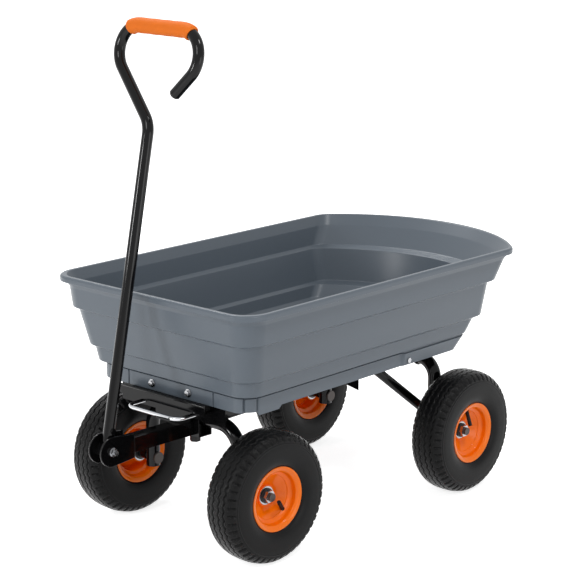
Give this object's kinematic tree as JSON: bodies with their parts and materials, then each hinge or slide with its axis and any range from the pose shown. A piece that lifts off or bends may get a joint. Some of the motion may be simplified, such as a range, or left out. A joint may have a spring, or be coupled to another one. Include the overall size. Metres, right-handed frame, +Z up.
{
  "type": "tipping dump cart",
  "caption": "Garden dump cart: a moulded grey tub that tips rearwards on an arched steel chassis, with air tyres on orange rims, a steered front axle, a folding handle and a spring latch.",
  "frame": {"origin": "on the floor, under the middle of the whole part's box", "axes": "+X to the rear, where the tub tips; +Z up; +Y to the side away from the viewer of the picture; the handle end is at -X"},
  "size_m": [1.0536, 0.542, 1.0223],
  "materials": {
    "tub_plastic": "satin",
    "frame_paint": "gloss",
    "zinc_steel": "zinc plated",
    "bail_chrome": "polished",
    "black_rubber": "matte",
    "black_plastic": "satin",
    "tyre_rubber": "matte",
    "rim_paint": "gloss",
    "grip_foam": "matte foam"
  },
  "bodies": {
    "chassis": {"left_rail": "frame_paint", "right_rail": "frame_paint", "front_crossmember": "frame_paint", "turntable_plate": "frame_paint", "rear_arch": "frame_paint", "rear_stub_axles": "frame_paint", "rear_braces": "frame_paint", "pivot_ears": "frame_paint", "pivot_rod": "zinc_steel", "pivot_nuts": "zinc_steel", "rubber_pads": "black_rubber", "kingpin": "zinc_steel", "kingpin_washer": "zinc_steel", "kingpin_nut": "frame_paint", "rear_spacers": "frame_paint", "rear_washers": "zinc_steel", "rear_axle_nuts": "zinc_steel", "latch_springs": "zinc_steel"},
    "tub": {"tub": "tub_plastic", "tub_crossbar": "frame_paint", "crossbar_bolts": "zinc_steel", "latch_keeper": "frame_paint", "keeper_bolts": "zinc_steel", "hinge_brackets": "frame_paint", "hinge_bolts": "zinc_steel"},
    "latch": {"bail": "bail_chrome", "bail_collars": "zinc_steel"},
    "front_axle": {"front_arch": "frame_paint", "axle_saddle": "frame_paint", "thrust_washer": "black_plastic", "drawbar": "frame_paint", "drawbar_fork": "frame_paint", "front_stub_axles": "frame_paint", "front_spacers": "frame_paint", "front_washers": "zinc_steel", "front_axle_nuts": "zinc_steel", "handle_bolt": "zinc_steel", "handle_nut": "zinc_steel"},
    "handle": {"handle_tube": "frame_paint", "handle_eye": "frame_paint", "handle_grip": "grip_foam", "handle_cap": "black_plastic", "shaft_screw": "frame_paint"},
    "front_left_wheel": {"front_left_tyre": "tyre_rubber", "front_left_rim": "rim_paint", "front_left_bearings": "zinc_steel", "front_left_inner_tube": "black_rubber"},
    "front_right_wheel": {"front_right_tyre": "tyre_rubber", "front_right_rim": "rim_paint", "front_right_bearings": "zinc_steel", "front_right_inner_tube": "black_rubber"},
    "rear_left_wheel": {"rear_left_tyre": "tyre_rubber", "rear_left_rim": "rim_paint", "rear_left_bearings": "zinc_steel", "rear_left_inner_tube": "black_rubber"},
    "rear_right_wheel": {"rear_right_tyre": "tyre_rubber", "rear_right_rim": "rim_paint", "rear_right_bearings": "zinc_steel", "rear_right_inner_tube": "black_rubber"}
  },
  "joints": [
    {"name": "steer", "type": "hinge", "parent": "chassis", "child": "front_axle", "pos_m": [-0.27318, 0, 0.225], "axis": [0, 0, 1], "range_deg": [-27, 32.8]},
    {"name": "handle_tilt", "type": "hinge", "parent": "front_axle", "child": "handle", "pos_m": [-0.4969, 0.01122, 0.226], "axis": [-0.0501, -0.9987, 0], "range_deg": [0, 110]},
    {"name": "tub_tip", "type": "hinge", "parent": "chassis", "child": "tub", "pos_m": [0.30582, 0, 0.306], "axis": [0, 1, 0], "range_deg": [0, 72]},
    {"name": "latch_pull", "type": "slide", "parent": "chassis", "child": "latch", "axis": [-1, 0, 0], "range_m": [0, 0.015], "stiffness_N_per_m": 800, "springref_m": -0.004, "deforming": ["latch_springs"]},
    {"name": "front_left_spin", "type": "hinge", "parent": "front_axle", "child": "front_left_wheel", "pos_m": [-0.28315, -0.19875, 0.13], "axis": [0.0501, 0.9987, 0], "continuous": true},
    {"name": "front_right_spin", "type": "hinge", "parent": "front_axle", "child": "front_right_wheel", "pos_m": [-0.26322, 0.19875, 0.13], "axis": [0.0501, 0.9987, 0], "continuous": true},
    {"name": "rear_left_spin", "type": "hinge", "parent": "chassis", "child": "rear_left_wheel", "pos_m": [0.28982, -0.225, 0.13], "axis": [0, 1, 0], "continuous": true},
    {"name": "rear_right_spin", "type": "hinge", "parent": "chassis", "child": "rear_right_wheel", "pos_m": [0.28982, 0.225, 0.13], "axis": [0, 1, 0], "continuous": true}
  ]
}
